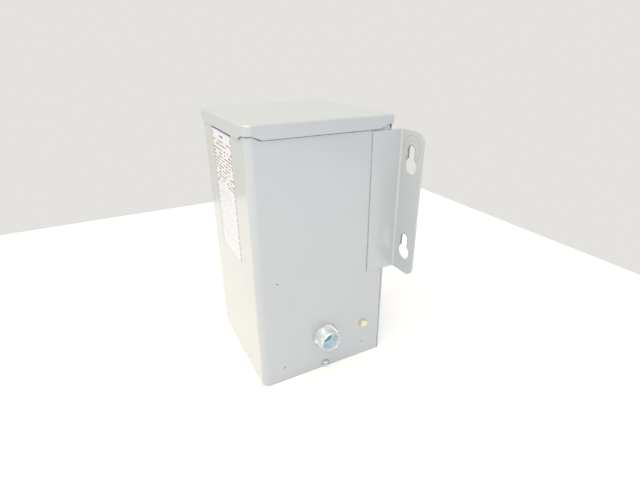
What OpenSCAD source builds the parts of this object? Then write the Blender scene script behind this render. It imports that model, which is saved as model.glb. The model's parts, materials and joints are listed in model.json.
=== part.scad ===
/* [Case] */
// Outer width of the sheet-steel case, left to right
case_width = 200; // [196:1:220]
// Outer depth of the case, front to back
case_depth = 198; // [194:1:220]
// Overall height from the bottom edge to the top of the lid
unit_height = 368; // [366:1:400]
// Thickness of the case and lid sheet
sheet = 1.9; // [1.5:0.1:2.2]
// Outside bend radius of the two front corners
front_corner_radius = 10; // [8:0.5:12]
// Outside bend radius of the back panel's corners
back_corner_radius = 3.6; // [3:0.1:5]
// Open seam between a side panel's raw edge and the back panel's bend
seam_gap = 1.2; // [0.8:0.1:1.6]
// How far the back panel's hidden flanges reach forward inside the side panels
seam_lap = 19; // [14:1:22]

/* [Lid] */
// Clearance between the lid's skirt and the case, all round
lid_gap = 0.5; // [0.3:0.1:0.8]
// Depth of the skirt at the middle of each side, from the lid's top
skirt_depth = 17.5; // [16:0.5:19]
// Depth of the skirt round the corners, from the lid's top
skirt_corner_depth = 12.5; // [10:0.5:14]
// Length of the shallow skirt from the lid's corner along a side
skirt_flat = 10; // [9:0.5:12]
// Length of the slope from the shallow skirt to the deep one
skirt_ramp = 12; // [8:0.5:16]
// Radius of the lid's top edge
lid_edge_radius = 3; // [2:0.25:4]

/* [Bottom cover] */
// Clearance between the bottom cover and the case walls
cover_gap = 0.5; // [0.3:0.1:0.8]
// Height of the cover's upturned flanges from the bottom edge
cover_flange = 20; // [17:0.5:21]
// Inside bend radius of the cover's flanges
cover_bend = 1.5; // [1:0.25:2.5]
// Length that the flanges stop short of the case's inside corners
cover_relief = 11; // [10:0.5:20]
// Height of the cover screws above the bottom edge
cover_screw_height = 6.6; // [6.3:0.1:8]
// Radius of the larger knockout ring, in the left side and in the cover
knockout_radius = 14.1; // [13.8:0.1:15]
// Radius of the smaller knockout ring
knockout_inner_radius = 11.1; // [9:0.1:11.5]
// Depth of a knockout's ring groove
knockout_groove = 0.6; // [0.4:0.1:0.9]
// Distance of the cover's knockouts from the middle
cover_knockout_offset = 45; // [35:1:60]

/* [Inside rails] */
// Distance of each rail's ends from the back panel's hidden flanges, and as much at the front
rail_gap = 4.2; // [3:0.2:10]
// Leg of the rail's angle section, up and across
rail_leg = 14; // [10:0.5:18]
// Distance of a rail's spot welds from its ends
weld_inset = 5.5; // [4:0.5:20]
// Height of a spot weld above the rail's lower face
weld_rise = 3.3; // [3:0.1:6]
// Radius of a spot-weld mark
weld_radius = 3.25; // [2.5:0.25:4]
// Depth of a spot-weld mark
weld_depth = 0.35; // [0.2:0.05:0.5]

/* [Wall brackets] */
// Thickness of the bracket plate
bracket_sheet = 2.5; // [2:0.1:3]
// Length of the bracket that laps the case side, from the case's back face
bracket_lap = 31; // [25:1:45]
// Distance from the case's back face to the wall
wall_gap = 16.5; // [14:0.5:24]
// Distance of the flange's outer edge from the case side
bracket_reach = 44.8; // [42:0.2:60]
// Distance of the bracket's upper edge below the lid's skirt
bracket_drop = 2.5; // [1:0.5:10]
// Height of the bracket
bracket_height = 200; // [185:1:205]
// Inside bend radius of the bracket
bracket_bend = 3; // [2:0.25:4]
// Radius of the flange's two outer corners
bracket_corner = 14; // [8:1:20]
// Distance of the keyholes from the case side
keyhole_offset = 23.6; // [21:0.2:26]
// Radius of a keyhole's slot, for a half-inch bolt
keyhole_slot_radius = 6.5; // [5.5:0.1:7.5]
// Radius of a keyhole's entry hole
keyhole_entry_radius = 11.25; // [10:0.25:12.5]
// Distance from the entry hole's centre up to the slot's end centre
keyhole_rise = 20.4; // [18:0.1:24]
// Distance of the upper slot's end centre below the bracket's top edge
keyhole_top = 24.5; // [20:0.5:28]
// Distance of the lower slot's end centre above the bracket's lower edge
keyhole_foot = 52.5; // [46:0.5:60]

/* [Conduit connector] */
// Distance from the inside rail up to the connector's locknut
connector_rise = 6.1; // [4:0.1:12]
// Size of the hex shoulder across its flats
connector_hex = 35; // [33.5:0.5:37]
// Thickness of the hex shoulder
connector_hex_thickness = 6.5; // [5:0.25:8]
// Outside radius of the threaded collar
collar_radius = 15.5; // [15:0.1:16.4]
// Length of the connector outside the case
connector_length = 20; // [17:0.5:26]
// Radius of the bore that takes the conduit
conduit_radius = 13.6; // [12.5:0.1:14]
// Depth of the bore from its mouth to the stop
conduit_depth = 16; // [11:0.5:16.5]
// Radius of the throat behind the stop
throat_radius = 10.4; // [9:0.2:11]
// Radius of the male thread that passes through the case wall
male_radius = 13.1; // [12:0.1:13.5]
// Length of the male thread from the case's outer face
male_length = 15; // [12:0.5:18]
// Clearance round the male thread in the case wall
male_clearance = 0.6; // [0.3:0.1:1]
// Turn of the hex shoulder from level
connector_turn = 8; // [0:1:29]
// Thickness of the locknut
locknut_thickness = 3.6; // [3:0.2:5]
// Outer radius of the locknut's ring
locknut_radius = 16.4; // [15.5:0.1:17.5]
// How far the locknut's lugs stand out of its ring
locknut_lug = 2; // [1:0.25:3]

/* [Ground screw] */
// Distance of the ground screw from the case's back face
ground_setback = 33.4; // [30:0.2:45]
// Radius of the ground screw's shank
ground_shank = 3.15; // [2.8:0.05:3.6]
// Size of the ground screw's head and nut across the flats
ground_hex = 11.1; // [10:0.1:12]
// Height of the ground screw's head
ground_head = 4.7; // [4:0.1:5.5]
// Height of the ground screw's nut
ground_nut_height = 5.4; // [4.5:0.1:6.5]

/* [Cover screws] */
// Radius of a cover screw's shank
cover_shank = 2.1; // [1.8:0.05:2.4]
// Size of a cover screw's head across the flats
cover_hex = 8; // [7:0.25:8.5]
// Height of a cover screw's head over its washer face
cover_head = 3.2; // [2.5:0.1:4]
// Radius of the washer face under the head
cover_washer_radius = 5.5; // [5.2:0.1:6]
// Thickness of the washer face
cover_washer = 0.9; // [0.6:0.1:1.4]
// Width of the slot in a cover screw's head
cover_slot = 1.3; // [1:0.1:1.6]
// Width and height of the nut plate on the cover's flange
nut_plate = [14, 11];
// Thickness of the nut plate
nut_plate_thickness = 2.5; // [2:0.1:3.5]

/* [Screw clearances] */
// Clearance round a screw's shank in the sheet metal
screw_clearance = 0.35; // [0.2:0.05:0.6]
// Length of a screw's tip beyond its nut
screw_tip = 2; // [1:0.25:4]

/* [Label] */
// Width of the label on the front
label_width = 88; // [70:1:120]
// Height of the label
label_height = 172; // [120:1:190]
// Distance of the label's top edge below the lid's skirt
label_drop = 1; // [1:0.5:20]
// Thickness of the label
label_thickness = 0.3; // [0.2:0.05:0.5]

/* [Potting] */
// Height of the potting's lower face, the ceiling of the wiring space
potting_bottom = 130; // [122:1:136]

/* [Core] */
// Width of the core's middle leg
core_leg = 50; // [46:1:56]
// Depth of the stack of laminations
core_stack = 80; // [70:1:90]
// Width of a core window
window_width = 25; // [24:0.5:28]
// Height of a core window
window_height = 75; // [70:1:82]
// Thickness of the clamp bars
clamp_thickness = 3; // [2:0.25:4]
// Radius of the core bolts
core_bolt_radius = 3; // [2.5:0.25:4]
// Size of the core bolts' heads and nuts across the flats
core_bolt_hex = 10; // [9:0.5:12]
// Height of the core bolts' heads
core_bolt_head = 4; // [3:0.25:5]
// Height of the core bolts' nuts
core_nut_height = 5; // [4:0.25:6]

/* [Windings] */
// Wall of the tube on the middle leg
tube_wall = 1.5; // [1:0.1:2]
// Thickness of the primary winding
primary_build = 9.5; // [8:0.25:9.75]
// Thickness of the insulation between the windings
barrier = 0.8; // [0.5:0.1:1]
// Thickness of the secondary winding
secondary_build = 9.5; // [8:0.25:9.75]
// Thickness of the outer wrap
outer_wrap = 0.7; // [0.4:0.1:1]
// Distance between the windings' ends and the yokes
winding_margin = 2; // [1:0.25:4]

/* [Leads] */
// Leads in each row
leads_per_row = 4; // [4]
// Distance between neighbouring leads
lead_pitch = 16; // [12:0.5:16]
// Radius of a primary lead
primary_lead_radius = 2.2; // [1.8:0.1:2.6]
// Radius of a secondary lead
secondary_lead_radius = 2.6; // [2:0.1:3.2]
// Length that a lead hangs below the potting before its bend
lead_drop = 30; // [22:1:32]
// Radius of a lead's bend
lead_bend = 10; // [8:0.5:14]
// Length of a lead beyond its bend
lead_end = 14; // [8:1:18]

/* [Hidden] */
$fn = 96;
// Overlap of cutting tools beyond the faces that they cut
cut = 1;

half_width = case_width / 2;
half_depth = case_depth / 2;
inner_side = half_width - sheet;
inner_front = -half_depth + sheet;
inner_back = half_depth - sheet;
inner_front_radius = front_corner_radius - sheet;
inner_back_radius = back_corner_radius - sheet;
case_height = unit_height - sheet;
side_edge = half_depth - back_corner_radius - seam_gap;
flange_front = side_edge - seam_lap;

lid_out = sheet + lid_gap;
skirt_bottom = unit_height - skirt_depth;
skirt_corner_bottom = unit_height - skirt_corner_depth;
// Depth of the skirt cuts, past the skirt but short of the opposite side
skirt_band = lid_out + 4;

cover_side = inner_side - cover_gap;
cover_front = inner_front + cover_gap;
cover_back = inner_back - cover_gap;
cover_tangent = sheet + cover_bend;
rail_bottom = cover_flange;
rail_end = flange_front - rail_gap;
weld_y = rail_end - weld_inset;

wall_plane = half_depth + wall_gap;
bracket_bend_outer = bracket_bend + bracket_sheet;
bracket_top = skirt_bottom - bracket_drop;
bracket_bottom = bracket_top - bracket_height;
keyhole_x = half_width + keyhole_offset;
upper_slot_height = bracket_top - keyhole_top;
lower_slot_height = bracket_bottom + keyhole_foot;

connector_height = rail_bottom + rail_leg + connector_rise + locknut_radius + locknut_lug;
male_hole = male_radius + male_clearance;
ground_y = half_depth - ground_setback;

label_top = skirt_bottom - label_drop;

yoke = core_leg / 2;
core_height = window_height + 2 * yoke;
core_base = (potting_bottom + case_height - core_height) / 2;
core_half_width = core_leg / 2 + window_width + yoke;
window_base = core_base + yoke;
window_top = window_base + window_height;
core_top = core_base + core_height;
half_stack = core_stack / 2;
core_bolt_x = core_half_width - yoke / 2;
core_bolt_heights = [core_base + yoke / 2, core_top - yoke / 2];

// Distances of the coil's layers from the middle leg's faces
tube_out = tube_wall;
primary_out = tube_out + primary_build;
barrier_out = primary_out + barrier;
secondary_out = barrier_out + secondary_build;
wrap_out = secondary_out + outer_wrap;
winding_base = window_base + winding_margin;
winding_height = window_height - 2 * winding_margin;
primary_lead_y = half_stack + tube_out + primary_build / 2;
secondary_lead_y = half_stack + barrier_out + secondary_build / 2;

paint = "#c6cdd1";
zinc = "#b9c2c9";
yellow_zinc = "#c9b25a";
bare_steel = "#8d9094";

// Rectangle from front to back about x = 0, with its own radius at the front and back corners
module corner_plan(half, front, back, front_radius, back_radius) {
    translate([-half, front + front_radius])
        square([2 * half, back - front - front_radius - back_radius]);
    translate([-half + front_radius, front])
        square([2 * (half - front_radius), front_radius]);
    translate([-half + back_radius, back - back_radius])
        square([2 * (half - back_radius), back_radius]);
    for (side = [-1, 1]) {
        translate([side * (half - front_radius), front + front_radius])
            circle(front_radius);
        translate([side * (half - back_radius), back - back_radius])
            circle(back_radius);
    }
}

// Outline of the closed case, seen from above
module case_plan() {
    corner_plan(half_width, -half_depth, half_depth, front_corner_radius, back_corner_radius);
}

// Outline of the space inside the case's sheet
module inner_plan() {
    corner_plan(inner_side, inner_front, inner_back, inner_front_radius, inner_back_radius);
}

// Quarter of a ring in the +X +Y quadrant
module quarter_ring(outer, inner) {
    intersection() {
        difference() {
            circle(outer);
            circle(inner);
        }
        square(outer + cut);
    }
}

// Moves its children to a place on the right side and turns their Z axis outwards, along +X
module on_side(y, z, x = half_width) {
    translate([x, y, z])
        rotate([90, 0, 90])
            children();
}

// Right or left copy
module on_both_sides() {
    children();
    mirror([1, 0, 0])
        children();
}

// Straight hexagonal prism along Z, with its top corners chamfered by a cone
module hex_head(across, height, turn = 0) {
    corner = across / 2 / cos(30);
    intersection() {
        rotate([0, 0, turn])
            cylinder(r = corner, h = height, $fn = 6);
        cylinder(r1 = across / 2 + height * 1.8, r2 = across / 2 * 0.97, h = height);
    }
}

// Tool for the shallow round marks that spot welding leaves
module weld_mark() {
    ball = (weld_radius * weld_radius + weld_depth * weld_depth) / (2 * weld_depth);
    translate([0, 0, ball - weld_depth])
        sphere(ball);
}

// Tool for one ring groove of a knockout, cut from the outer face inwards along -Z
module ring_groove(radius) {
    translate([0, 0, -knockout_groove])
        difference() {
            cylinder(r = radius + 0.4, h = knockout_groove + cut);
            translate([0, 0, -cut])
                cylinder(r = radius - 0.4, h = knockout_groove + 3 * cut);
        }
}

// Both rings of a closed knockout
module knockout_grooves() {
    ring_groove(knockout_radius);
    ring_groove(knockout_inner_radius);
}

// Front and both sides, one sheet bent to a U
module case_wrap() {
    color(paint)
        difference() {
            linear_extrude(case_height)
                difference() {
                    case_plan();
                    inner_plan();
                    translate([-half_width - cut, side_edge])
                        square([case_width + 2 * cut, half_depth]);
                }
            on_side(0, connector_height)
                translate([0, 0, -sheet - cut])
                    cylinder(r = male_hole, h = sheet + 2 * cut);
            on_side(ground_y, connector_height)
                translate([0, 0, -sheet - cut])
                    cylinder(r = ground_shank + screw_clearance, h = sheet + 2 * cut);
            on_both_sides()
                on_side(0, cover_screw_height)
                    translate([0, 0, -sheet - cut])
                        cylinder(r = cover_shank + screw_clearance, h = sheet + 2 * cut);
            on_both_sides()
                for (y = [-weld_y, weld_y])
                    on_side(y, rail_bottom + weld_rise)
                        weld_mark();
            mirror([1, 0, 0])
                on_side(0, connector_height)
                    knockout_grooves();
        }
}

// Right joggle and hidden flange of the back panel, cut away at the bottom for the cover
module seam_flange() {
    slope = norm([sheet, seam_gap]);
    inset = [-sheet * seam_gap / slope, sheet * sheet / slope];
    bend_y = half_depth - back_corner_radius;
    lower_end = [inner_side + inset[0], side_edge + inset[1]];
    difference() {
        linear_extrude(case_height)
            polygon([
                [half_width, bend_y],
                [inner_side, side_edge],
                [inner_side, flange_front],
                [inner_side - sheet, flange_front],
                [inner_side - sheet, lower_end[1] - (lower_end[0] - inner_side + sheet) * seam_gap / sheet],
                [half_width + inset[0], bend_y + inset[1]]
            ]);
        translate([inner_side - sheet - cut, flange_front - cut, -cut])
            cube([2 * (sheet + cut), side_edge - flange_front + cut, cover_flange + 2 * cut]);
    }
}

// Back panel with its two flanges, joggled to lie inside the side panels
module back_panel() {
    color(paint) {
        linear_extrude(case_height)
            intersection() {
                difference() {
                    case_plan();
                    inner_plan();
                }
                translate([-half_width - cut, half_depth - back_corner_radius])
                    square([case_width + 2 * cut, half_depth]);
            }
        on_both_sides()
            seam_flange();
    }
}

// Disc on z = 0 whose upper edge is rounded
module round_disc(radius, edge) {
    rotate_extrude() {
        square([radius - edge, edge]);
        translate([radius - edge, 0])
            intersection() {
                circle(edge);
                square(edge);
            }
    }
}

// Rounded outer form of the lid: a prism, a smaller one on top and the round edge between them
module lid_form() {
    half = half_width + lid_out;
    front = -half_depth - lid_out;
    back = half_depth + lid_out;
    front_radius = front_corner_radius + lid_out;
    back_radius = back_corner_radius + lid_out;
    edge = lid_edge_radius;
    shoulder = unit_height - edge;
    translate([0, 0, skirt_bottom])
        linear_extrude(skirt_depth - edge)
            corner_plan(half, front, back, front_radius, back_radius);
    translate([0, 0, shoulder - cut])
        linear_extrude(edge + cut)
            corner_plan(half - edge, front + edge, back - edge, front_radius - edge, back_radius - edge);
    for (side = [-1, 1]) {
        translate([side * (half - edge), front + front_radius, shoulder])
            rotate([-90, 0, 0])
                cylinder(r = edge, h = back - front - front_radius - back_radius);
        translate([side * (half - front_radius), front + front_radius, shoulder])
            round_disc(front_radius, edge);
        translate([side * (half - back_radius), back - back_radius, shoulder])
            round_disc(back_radius, edge);
    }
    translate([-half + front_radius, front + edge, shoulder])
        rotate([0, 90, 0])
            cylinder(r = edge, h = 2 * (half - front_radius));
    translate([-half + back_radius, back - edge, shoulder])
        rotate([0, 90, 0])
            cylinder(r = edge, h = 2 * (half - back_radius));
}

// Tool that makes the skirt shallow at one end of a side whose corner is at x = 0 and runs along +X
module skirt_end_cut() {
    rotate([90, 0, 0])
        linear_extrude(skirt_band, center = true)
            polygon([
                [-skirt_band, skirt_bottom - cut],
                [skirt_flat + skirt_ramp, skirt_bottom - cut],
                [skirt_flat + skirt_ramp, skirt_bottom],
                [skirt_flat, skirt_corner_bottom],
                [-skirt_band, skirt_corner_bottom]
            ]);
}

// Pressed lid with a skirt outside the case
module top_lid() {
    half = half_width + lid_out;
    half_y = half_depth + lid_out;
    gap_side = half_width + lid_gap;
    color(paint)
        difference() {
            lid_form();
            translate([0, 0, skirt_bottom - cut])
                linear_extrude(case_height - skirt_bottom + cut)
                    corner_plan(gap_side, -half_depth - lid_gap, half_depth + lid_gap,
                        front_corner_radius + lid_gap, back_corner_radius + lid_gap);
            for (end = [0, 1], face = [0, 1])
                mirror([end, 0, 0])
                    mirror([0, face, 0])
                        translate([-half, -half_y, 0]) {
                            skirt_end_cut();
                            mirror([1, -1, 0])
                                skirt_end_cut();
                        }
        }
}

// Upturned flange of the cover, its outer face at y = 0 and its length along X
module cover_edge(length) {
    translate([-length / 2, 0, 0])
        rotate([90, 0, 90])
            linear_extrude(length) {
                translate([-sheet, cover_tangent])
                    square([sheet, cover_flange - cover_tangent]);
                translate([-cover_tangent, cover_tangent])
                    mirror([0, 1])
                        quarter_ring(cover_tangent, cover_bend);
            }
}

// Removable bottom cover, a tray with four upturned flanges
module bottom_cover() {
    length_y = cover_back - cover_front - 2 * cover_relief;
    length_x = 2 * (cover_side - cover_relief);
    middle_y = (cover_front + cover_back) / 2;
    color(paint)
        difference() {
            union() {
                translate([-cover_side + cover_tangent, cover_front + cover_tangent, 0])
                    cube([2 * (cover_side - cover_tangent), cover_back - cover_front - 2 * cover_tangent, sheet]);
                translate([0, cover_back, 0])
                    cover_edge(length_x);
                translate([0, cover_front, 0])
                    mirror([0, 1, 0])
                        cover_edge(length_x);
                on_both_sides()
                    translate([cover_side, middle_y, 0])
                        rotate([0, 0, -90])
                            cover_edge(length_y);
            }
            on_both_sides()
                on_side(0, cover_screw_height, cover_side)
                    translate([0, 0, -sheet - cut])
                        cylinder(r = cover_shank + screw_clearance, h = sheet + 2 * cut);
            on_both_sides()
                translate([cover_knockout_offset, 0, 0])
                    mirror([0, 0, 1])
                        knockout_grooves();
        }
}

// Angle inside the right panel that the cover's flange stops against
module cover_rail() {
    color(bare_steel)
        translate([inner_side, -rail_end, rail_bottom]) {
            translate([-sheet, 0, 0])
                cube([sheet, 2 * rail_end, rail_leg]);
            translate([-rail_leg, 0, 0])
                cube([rail_leg, 2 * rail_end, sheet]);
        }
}

// Keyhole outline: the slot's end at [0, 0] and the entry hole below it
module keyhole() {
    circle(keyhole_slot_radius);
    translate([-keyhole_slot_radius, -keyhole_rise])
        square([2 * keyhole_slot_radius, keyhole_rise]);
    translate([0, -keyhole_rise])
        circle(keyhole_entry_radius);
}

// Tool that rounds the flange's lower outer corner, whose centre is at the origin
module corner_tool() {
    difference() {
        translate([0, 0, -bracket_corner - cut])
            cube([bracket_corner + cut, 4 * bracket_sheet, bracket_corner + cut]);
        translate([0, -cut, 0])
            rotate([-90, 0, 0])
                cylinder(r = bracket_corner, h = 4 * bracket_sheet + 2 * cut);
    }
}

// Right wall bracket: a plate on the case side, bent outwards to a flange with two keyholes
module wall_bracket() {
    lap_start = half_depth - bracket_lap;
    bend_y = wall_plane - bracket_bend_outer;
    bend_x = half_width + bracket_bend_outer;
    edge_x = half_width + bracket_reach;
    color(paint)
        difference() {
            translate([0, 0, bracket_bottom])
                linear_extrude(bracket_height) {
                    translate([half_width, lap_start])
                        square([bracket_sheet, bend_y - lap_start]);
                    translate([bend_x, bend_y])
                        mirror([1, 0])
                            quarter_ring(bracket_bend_outer, bracket_bend);
                    translate([bend_x, wall_plane - bracket_sheet])
                        square([edge_x - bend_x, bracket_sheet]);
                }
            for (slot_height = [upper_slot_height, lower_slot_height])
                translate([keyhole_x, wall_plane + cut, slot_height])
                    rotate([90, 0, 0])
                        linear_extrude(bracket_sheet + 2 * cut)
                            keyhole();
            translate([edge_x - bracket_corner, wall_plane - 3 * bracket_sheet, bracket_bottom + bracket_corner])
                corner_tool();
            translate([edge_x - bracket_corner, wall_plane - 3 * bracket_sheet, bracket_top - bracket_corner])
                mirror([0, 0, 1])
                    corner_tool();
        }
}

// Printed label on the front
module label() {
    color("white")
        translate([-label_width / 2, -half_depth - label_thickness, label_top - label_height])
            cube([label_width, label_thickness, label_height]);
}

// Conduit connector, its thread through the wall and its gland nut gone
module connector_body() {
    color(zinc)
        on_side(0, connector_height)
            difference() {
                union() {
                    hex_head(connector_hex, connector_hex_thickness, connector_turn);
                    cylinder(r = collar_radius, h = connector_length);
                    translate([0, 0, -male_length])
                        cylinder(r = male_radius, h = male_length);
                }
                translate([0, 0, connector_length - conduit_depth])
                    cylinder(r = conduit_radius, h = conduit_depth + cut);
                translate([0, 0, -male_length - cut])
                    cylinder(r = throat_radius, h = male_length + connector_length);
            }
}

// Locknut on the connector's thread, inside the wall
module connector_locknut() {
    lugs = 6;
    color(zinc)
        on_side(0, connector_height, inner_side)
            translate([0, 0, -locknut_thickness])
                difference() {
                    union() {
                        cylinder(r = locknut_radius, h = locknut_thickness);
                        for (i = [0:lugs - 1])
                            rotate([0, 0, i * 360 / lugs])
                                translate([0, -locknut_lug, 0])
                                    cube([locknut_radius + locknut_lug, 2 * locknut_lug, locknut_thickness]);
                    }
                    translate([0, 0, -cut])
                        cylinder(r = male_radius, h = locknut_thickness + 2 * cut);
                }
}

// Hex-head ground screw
module ground_screw() {
    shank = sheet + ground_nut_height + screw_tip;
    color(yellow_zinc)
        on_side(ground_y, connector_height) {
            hex_head(ground_hex, ground_head);
            translate([0, 0, -shank])
                cylinder(r = ground_shank, h = shank);
        }
}

// Nut on the ground screw, inside the wall
module ground_nut() {
    color(yellow_zinc)
        on_side(ground_y, connector_height, inner_side)
            translate([0, 0, -ground_nut_height])
                difference() {
                    cylinder(r = ground_hex / 2 / cos(30), h = ground_nut_height, $fn = 6);
                    translate([0, 0, -cut])
                        cylinder(r = ground_shank, h = ground_nut_height + 2 * cut);
                }
}

// Slotted hex screw with a washer face, through the right side into the cover
module cover_screw() {
    shank = sheet + cover_gap + sheet + nut_plate_thickness + screw_tip;
    color(zinc)
        on_side(0, cover_screw_height)
            difference() {
                union() {
                    cylinder(r = cover_washer_radius, h = cover_washer);
                    translate([0, 0, cover_washer])
                        hex_head(cover_hex, cover_head);
                    translate([0, 0, -shank])
                        cylinder(r = cover_shank, h = shank);
                }
                translate([-cover_hex, -cover_slot / 2, cover_washer + cover_head / 2])
                    cube([2 * cover_hex, cover_slot, cover_head]);
            }
}

// Nut plate held behind the cover's right flange
module cover_nut() {
    plate_bottom = cover_tangent - cover_screw_height;
    color(bare_steel)
        on_side(0, cover_screw_height, cover_side - sheet)
            translate([0, 0, -nut_plate_thickness])
                difference() {
                    translate([-nut_plate[0] / 2, plate_bottom, 0])
                        cube([nut_plate[0], nut_plate[1], nut_plate_thickness]);
                    translate([0, 0, -cut])
                        cylinder(r = cover_shank, h = nut_plate_thickness + 2 * cut);
                }
}

// Places a copy of its children at each of the core's four bolt holes, with Z along the bolts
module at_core_bolts() {
    for (x = [-core_bolt_x, core_bolt_x], z = core_bolt_heights)
        translate([x, 0, z])
            rotate([90, 0, 0])
                children();
}

// Outline of a layer of the coil, seen from above, whose faces stand out of the middle leg
module layer_plan(out) {
    corner_plan(core_leg / 2 + out, -half_stack - out, half_stack + out, max(out, 0.5), max(out, 0.5));
}

// One layer of the coil between two distances from the middle leg
module coil_layer(inside, outside, base, height) {
    translate([0, 0, base])
        linear_extrude(height)
            difference() {
                layer_plan(outside);
                layer_plan(inside);
            }
}

// E-shaped laminations without their bolt holes
module e_form() {
    translate([0, half_stack, 0])
        rotate([90, 0, 0])
            linear_extrude(core_stack) {
                translate([-core_half_width, core_base])
                    square([2 * core_half_width, yoke]);
                translate([-core_leg / 2, core_base])
                    square([core_leg, window_top - core_base]);
                for (x = [-core_half_width, core_half_width - yoke])
                    translate([x, core_base])
                        square([yoke, window_top - core_base]);
            }
}

// I-shaped laminations without their bolt holes
module i_form() {
    translate([-core_half_width, -half_stack, window_top])
        cube([2 * core_half_width, core_stack, yoke]);
}

// Clearance holes for the core bolts
module core_bolt_holes() {
    at_core_bolts()
        cylinder(r = core_bolt_radius + screw_clearance, h = 2 * core_stack, center = true);
}

module core_e_stack() {
    color(bare_steel)
        difference() {
            e_form();
            core_bolt_holes();
        }
}

module core_i_stack() {
    color(bare_steel)
        difference() {
            i_form();
            core_bolt_holes();
        }
}

// Bar against the front or rear of a yoke: face is -1 at the front, base is the bar's lower edge
module bar_form(face, base) {
    front = face < 0 ? -half_stack - clamp_thickness : half_stack;
    translate([-core_half_width, front, base])
        cube([2 * core_half_width, clamp_thickness, yoke]);
}

module clamp_bar(face, base) {
    color(bare_steel)
        difference() {
            bar_form(face, base);
            core_bolt_holes();
        }
}

// Core bolts, their heads at the front
module core_bolts() {
    grip = half_stack + clamp_thickness;
    color(zinc)
        at_core_bolts() {
            translate([0, 0, grip])
                cylinder(r = core_bolt_hex / 2 / cos(30), h = core_bolt_head, $fn = 6);
            translate([0, 0, -grip - core_nut_height - screw_tip])
                cylinder(r = core_bolt_radius, h = 2 * grip + core_nut_height + screw_tip);
        }
}

module core_nuts() {
    grip = half_stack + clamp_thickness;
    color(zinc)
        at_core_bolts()
            translate([0, 0, -grip - core_nut_height])
                difference() {
                    cylinder(r = core_bolt_hex / 2 / cos(30), h = core_nut_height, $fn = 6);
                    translate([0, 0, -cut])
                        cylinder(r = core_bolt_radius, h = core_nut_height + 2 * cut);
                }
}

module winding_tube() {
    color("wheat")
        translate([0, 0, window_base])
            linear_extrude(window_height)
                difference() {
                    layer_plan(tube_out);
                    square([core_leg, core_stack], center = true);
                }
}

module primary_winding() {
    color("peru")
        coil_layer(tube_out, primary_out, winding_base, winding_height);
}

module winding_barrier() {
    color("wheat")
        coil_layer(primary_out, barrier_out, winding_base, winding_height);
}

module secondary_winding() {
    color("peru")
        coil_layer(barrier_out, secondary_out, winding_base, winding_height);
}

module winding_wrap() {
    color("wheat")
        coil_layer(secondary_out, wrap_out, winding_base, winding_height);
}

// Lead from a winding's lower face down to the wiring space, where it bends inwards.
// Its row is at distance y in front (face -1) or behind (face 1), and index counts along X.
module lead(index, face, y, radius) {
    x = (index - (leads_per_row + 1) / 2) * lead_pitch;
    bend_height = potting_bottom - lead_drop;
    translate([x, face * y, 0]) {
        translate([0, 0, bend_height])
            cylinder(r = radius, h = winding_base - bend_height);
        translate([0, -face * lead_bend, bend_height])
            rotate([0, 90, 0])
                rotate([0, 0, face > 0 ? 0 : -90])
                    rotate_extrude(angle = 90)
                        translate([lead_bend, 0])
                            circle(radius);
        translate([0, -face * lead_bend, bend_height - lead_bend])
            rotate([face * 90, 0, 0])
                cylinder(r = radius, h = lead_end);
    }
}

module primary_lead(index) {
    color("black")
        lead(index, -1, primary_lead_y, primary_lead_radius);
}

module secondary_lead(index) {
    color("firebrick")
        lead(index, 1, secondary_lead_y, secondary_lead_radius);
}

// Potting compound round the core and coil, from the wiring space up to the lid
module potting_block() {
    color("dimgray")
        difference() {
            translate([0, 0, potting_bottom])
                linear_extrude(case_height - potting_bottom)
                    difference() {
                        inner_plan();
                        for (side = [-1, 1])
                            translate([side * inner_side - sheet, flange_front])
                                square([2 * sheet, half_depth]);
                    }
            e_form();
            i_form();
            for (face = [-1, 1], base = [core_base, window_top])
                bar_form(face, base);
            translate([0, 0, window_base])
                linear_extrude(window_height)
                    layer_plan(tube_out);
            translate([0, 0, winding_base])
                linear_extrude(winding_height)
                    layer_plan(wrap_out);
            core_bolts();
            core_nuts();
            for (i = [1:leads_per_row]) {
                primary_lead(i);
                secondary_lead(i);
            }
        }
}

case_wrap();
back_panel();
top_lid();
bottom_cover();
cover_rail();  // cover_rail_right
mirror([1, 0, 0]) cover_rail();  // cover_rail_left
wall_bracket();  // bracket_right
mirror([1, 0, 0]) wall_bracket();  // bracket_left
label();
connector_body();
connector_locknut();
ground_screw();
ground_nut();
cover_screw();  // cover_screw_right
mirror([1, 0, 0]) cover_screw();  // cover_screw_left
cover_nut();  // cover_nut_right
mirror([1, 0, 0]) cover_nut();  // cover_nut_left
potting_block();
core_e_stack();
core_i_stack();
winding_tube();
primary_winding();
winding_barrier();
secondary_winding();
winding_wrap();
clamp_bar(-1, core_base);  // clamp_bar_front_low
clamp_bar(-1, window_top);  // clamp_bar_front_high
clamp_bar(1, core_base);  // clamp_bar_rear_low
clamp_bar(1, window_top);  // clamp_bar_rear_high
core_bolts();
core_nuts();
primary_lead(1);  // primary_lead_1
primary_lead(2);  // primary_lead_2
primary_lead(3);  // primary_lead_3
primary_lead(4);  // primary_lead_4
secondary_lead(1);  // secondary_lead_1
secondary_lead(2);  // secondary_lead_2
secondary_lead(3);  // secondary_lead_3
secondary_lead(4);  // secondary_lead_4
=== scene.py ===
import bmesh
import bpy
import json
import math
from mathutils import Matrix, Vector


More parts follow.
